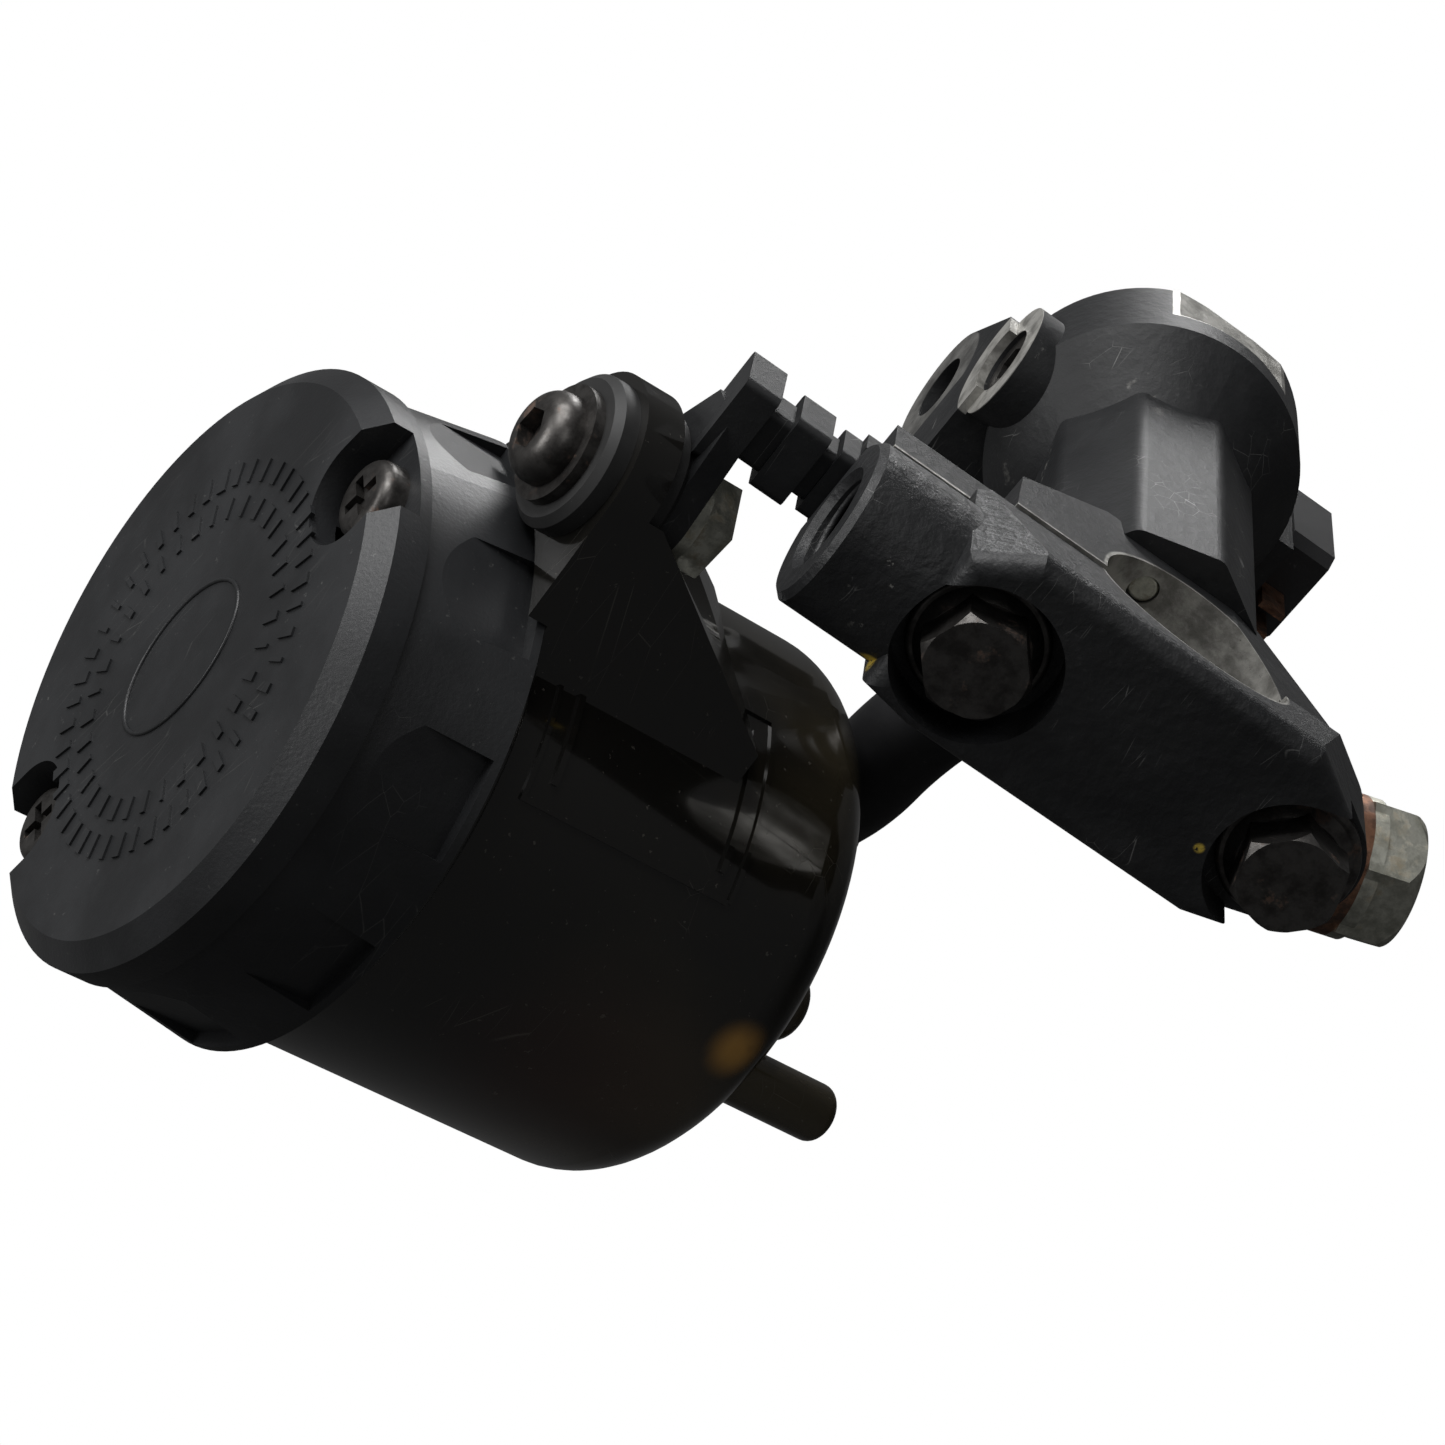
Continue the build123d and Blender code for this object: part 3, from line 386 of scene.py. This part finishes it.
def grow(name, group, values, place, body):
    holder = bpy.data.objects.new(name + "_seed", bpy.data.meshes.new(name + "_seed"))
    bpy.context.scene.collection.objects.link(holder)
    modifier = holder.modifiers.new("grow", "NODES")
    modifier.node_group = group
    for item in group.interface.items_tree:
        if item.in_out == "INPUT" and item.name in values:
            modifier[item.identifier] = values[item.name]
    bpy.context.view_layer.update()
    graph = bpy.context.evaluated_depsgraph_get()
    mesh = bpy.data.meshes.new_from_object(holder.evaluated_get(graph), depsgraph=graph)
    holder.modifiers.remove(modifier)
    bpy.data.objects.remove(holder)
    mesh.transform(place)
    mesh.name = name
    piece = bpy.data.objects.new(name, mesh)
    bpy.context.scene.collection.objects.link(piece)
    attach(piece, body)
    return piece


def ringTree(material):
    # raised bars standing round a circle, each a little different in length
    tree = Tree("ringOfBars", {
        "Count": ("NodeSocketInt", 24), "Radius": ("NodeSocketFloat", 0.02),
        "Long": ("NodeSocketFloat", 0.002), "Wide": ("NodeSocketFloat", 0.0015),
        "Proud": ("NodeSocketFloat", 0.0003), "Vary": ("NodeSocketFloat", 0.3),
        "Seed": ("NodeSocketInt", 3),
    })
    ring = {"Resolution": 128, "Radius": tree.given("Radius")}
    circle = tree.add("GeometryNodeCurvePrimitiveCircle", {}, ring)
    spots = tree.add("GeometryNodeCurveToPoints", {}, {"Curve": circle, "Count": tree.given("Count")})
    turn = spots.node.outputs["Rotation"]
    sides = {0: tree.given("Wide"), 1: tree.given("Proud"), 2: tree.given("Long")}
    size = tree.add("ShaderNodeCombineXYZ", {}, sides)
    bar = tree.add("GeometryNodeMeshCube", {}, {"Size": size})
    low = tree.add("ShaderNodeMath", {"operation": "SUBTRACT"}, {0: 1.0, 1: tree.given("Vary")})
    draw = {2: low, 3: 1.0, "Seed": tree.given("Seed")}
    change = tree.add("FunctionNodeRandomValue", {"data_type": "FLOAT"}, draw, out=1)
    grown = tree.add("ShaderNodeCombineXYZ", {}, {0: 1.0, 1: 1.0, 2: change})
    copies = {"Points": spots, "Instance": bar, "Rotation": turn, "Scale": grown}
    bars = tree.add("GeometryNodeInstanceOnPoints", {}, copies)
    tree.close(bars, material)
    return tree.group


def threadTree(material):
    # a thread ridge: a small section swept up a helix
    tree = Tree("threadRidge", {
        "Radius": ("NodeSocketFloat", 0.005), "Height": ("NodeSocketFloat", 0.01),
        "Turns": ("NodeSocketFloat", 8.0), "Ridge": ("NodeSocketFloat", 0.0004),
    })
    helix = tree.add("GeometryNodeCurveSpiral", {}, {
        "Resolution": 40, "Rotations": tree.given("Turns"), "Start Radius": tree.given("Radius"),
        "End Radius": tree.given("Radius"), "Height": tree.given("Height"),
    })
    around = {"Resolution": 5, "Radius": tree.given("Ridge")}
    section = tree.add("GeometryNodeCurvePrimitiveCircle", {}, around)
    swept = {"Curve": helix, "Profile Curve": section, "Fill Caps": True}
    ridge = tree.add("GeometryNodeCurveToMesh", {}, swept)
    tree.close(ridge, material)
    return tree.group


capRelief = {
    "outer": {
        "Count": 46, "Radius": 0.0209, "Long": 0.0016,
        "Wide": 0.0026, "Proud": 0.0005, "Vary": 0.75, "Seed": 4,
    },
    "inner": {
        "Count": 34, "Radius": 0.0168, "Long": 0.0015,
        "Wide": 0.0024, "Proud": 0.0005, "Vary": 0.75, "Seed": 9,
    },
}
print("growing the cap's raised marks and the threads")
ringGroup = ringTree(finishes["cap_plastic"])
for label, values in capRelief.items():
    grow("cap_marks_" + label, ringGroup, values, reservoirPlace, "reservoir_lid")

capRing = {"Radius": 0.0098, "Height": 0.0, "Turns": 1.0, "Ridge": 0.0003}
ringPlace = reservoirPlace @ Matrix.Diagonal((1.0, 0.72, 1.0, 1.0))
ringOval = threadTree(finishes["cap_plastic"])
grow("cap_center_ring", ringOval, capRing, ringPlace, "reservoir_lid")

threadGroup = threadTree(finishes["cast_black"])
mirrorThread = {"Radius": 0.0050, "Height": 0.0080, "Turns": 6.4, "Ridge": 0.00042}
threadPlace = Matrix.Translation((0, -0.0065, 0.0282))
grow("mirror_thread_ridge", threadGroup, mirrorThread, threadPlace, "cylinder")


cupMarks = {
    "wall": 0.03152, "proud": 0.00036, "facing": radians(-33.5), "steps": 22,
    "bars": [(-0.0275, 0.42), (-0.0492, 0.42)], "barThick": 0.0007,
    "panel": {"top": -0.0246, "bottom": -0.0513, "half": 0.33, "line": 0.0005},
}


wallSink = 0.0004


def wallPatch(low, high, left, right, wall, proud, steps):
    # a closed patch that stands just proud of a round wall
    verts = []
    faces = []
    for index in range(steps + 1):
        turn = left + (right - left) * index / steps
        corners = ((wall - wallSink, low), (wall + proud, low), (wall + proud, high), (wall - wallSink, high))
        for radius, level in corners:
            verts.append((radius * cos(turn), radius * sin(turn), level))
    for index in range(steps):
        here = index * 4
        for side in range(4):
            nextSide = (side + 1) % 4
            faces.append((here + side, here + 4 + side, here + 4 + nextSide, here + nextSide))
    faces.append((0, 1, 2, 3))
    last = steps * 4
    faces.append((last + 3, last + 2, last + 1, last))
    return verts, faces


def joined(name, parts, place, body, material):
    verts = []
    faces = []
    for partVerts, partFaces in parts:
        start = len(verts)
        verts += partVerts
        faces += [tuple(start + corner for corner in face) for face in partFaces]
    mesh = bpy.data.meshes.new(name)
    mesh.from_pydata([place @ Vector(v) for v in verts], [], faces)
    mesh.materials.append(material)
    piece = bpy.data.objects.new(name, mesh)
    bpy.context.scene.collection.objects.link(piece)
    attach(piece, body)
    return piece


def makeCupMarks():
    wall, proud, facing, steps = (cupMarks[key] for key in ("wall", "proud", "facing", "steps"))
    parts = []
    for level, half in cupMarks["bars"]:
        thick = cupMarks["barThick"] / 2
        left, right = facing - half * 0.6, facing + half * 0.6
        parts.append(wallPatch(level - thick, level + thick, left, right, wall, proud, steps))
    panel = cupMarks["panel"]
    half, line = panel["half"], panel["line"]
    panelProud = proud * 0.7
    panelSide = 0.009
    for level in (panel["top"], panel["bottom"]):
        left, right = facing - half, facing + half
        parts.append(wallPatch(level - line, level, left, right, wall, panelProud, steps))
    for side in (-half, half):
        edge = facing + side
        left, right = edge - panelSide, edge + panelSide
        parts.append(wallPatch(panel["bottom"], panel["top"], left, right, wall, panelProud, 2))
    finish = finishes["smoked_cup"]
    return joined("cup_level_marks", parts, reservoirPlace, "cylinder", finish)


makeCupMarks()
print("cup marks made")


def makeStage():
    # the floor reads as plain white, and still takes the light around the part
    floorLow = cadBox[0][2] - 0.012
    reach = 4.0
    mesh = bpy.data.meshes.new("floor")
    corners = [(x * reach, y * reach, floorLow) for x, y in ((-1, -1), (1, -1), (1, 1), (-1, 1))]
    mesh.from_pydata(corners, [], [(0, 1, 2, 3)])
    floor = bpy.data.objects.new("floor", mesh)
    bpy.context.scene.collection.objects.link(floor)
    graph = Graph("pale_floor")
    seen = graph.add("ShaderNodeLightPath")
    plain = graph.add("ShaderNodeBsdfDiffuse", {}, {0: (0.07, 0.07, 0.07, 1.0)})
    bright = graph.add("ShaderNodeEmission", {}, {0: (1.0, 1.0, 1.0, 1.0), 1: 1.0})
    blend = graph.add("ShaderNodeMixShader", {}, {0: seen, 1: plain, 2: bright})
    graph.add("ShaderNodeOutputMaterial", {}, {0: blend})
    mesh.materials.append(graph.material)


def makeWorld(strength):
    # white behind the part, dimmer where it lights the part
    world = bpy.data.worlds.new("studio")
    world.use_nodes = True
    tree = world.node_tree
    background = tree.nodes["Background"]
    background.inputs[0].default_value = (1.0, 1.0, 1.0, 1.0)
    seen = tree.nodes.new("ShaderNodeLightPath")
    level = tree.nodes.new("ShaderNodeMath")
    level.operation = "MULTIPLY_ADD"
    level.inputs[1].default_value = 1.0 - strength
    level.inputs[2].default_value = strength
    tree.links.new(seen.outputs[0], level.inputs[0])
    tree.links.new(level.outputs[0], background.inputs[1])
    bpy.context.scene.world = world


viewRight = Vector((0.5735, 0.1006, -0.813)).normalized()
viewUp = Vector((0.6946, 0.4664, 0.5477)).normalized()
viewBack = Vector((0.4343, -0.8788, 0.1976)).normalized()
middle = Vector((-0.025, 0.02, 0.03))

softBoxes = [
    # name, right, up, toward the camera, size, power
    ("overhead", -0.1, 0.8, 0.3, 0.6, 7.5),
    ("leftPanel", -0.85, 0.45, 0.35, 0.35, 3.4),
    ("frontFill", 0.35, 0.25, 0.85, 0.4, 0.9),
    ("rearRim", 0.35, 0.6, -0.5, 0.35, 5.0),
]


def makeLights():
    for name, right, up, back, size, power in softBoxes:
        data = bpy.data.lights.new(name, "AREA")
        data.shape = "SQUARE"
        data.size = size
        data.energy = power
        lamp = bpy.data.objects.new(name, data)
        bpy.context.scene.collection.objects.link(lamp)
        lamp.location = middle + viewRight * right + viewUp * up + viewBack * back
        lamp.rotation_euler = (middle - lamp.location).to_track_quat("-Z", "Y").to_euler()


def makeCamera():
    data = bpy.data.cameras.new("camera")
    data.sensor_width = 36.0
    data.lens = 36.0 * 4000 / 1445
    data.clip_start = 0.01
    camera = bpy.data.objects.new("camera", data)
    bpy.context.scene.collection.objects.link(camera)
    turn = Matrix((viewRight, viewUp, viewBack)).transposed().to_4x4()
    camera.matrix_world = Matrix.Translation((0.1463, -0.3517, 0.1098)) @ turn
    bpy.context.scene.camera = camera


makeStage()
makeWorld(0.13)
makeLights()
makeCamera()
bpy.context.scene.view_settings.view_transform = "Standard"
print("stage, lights and camera set")
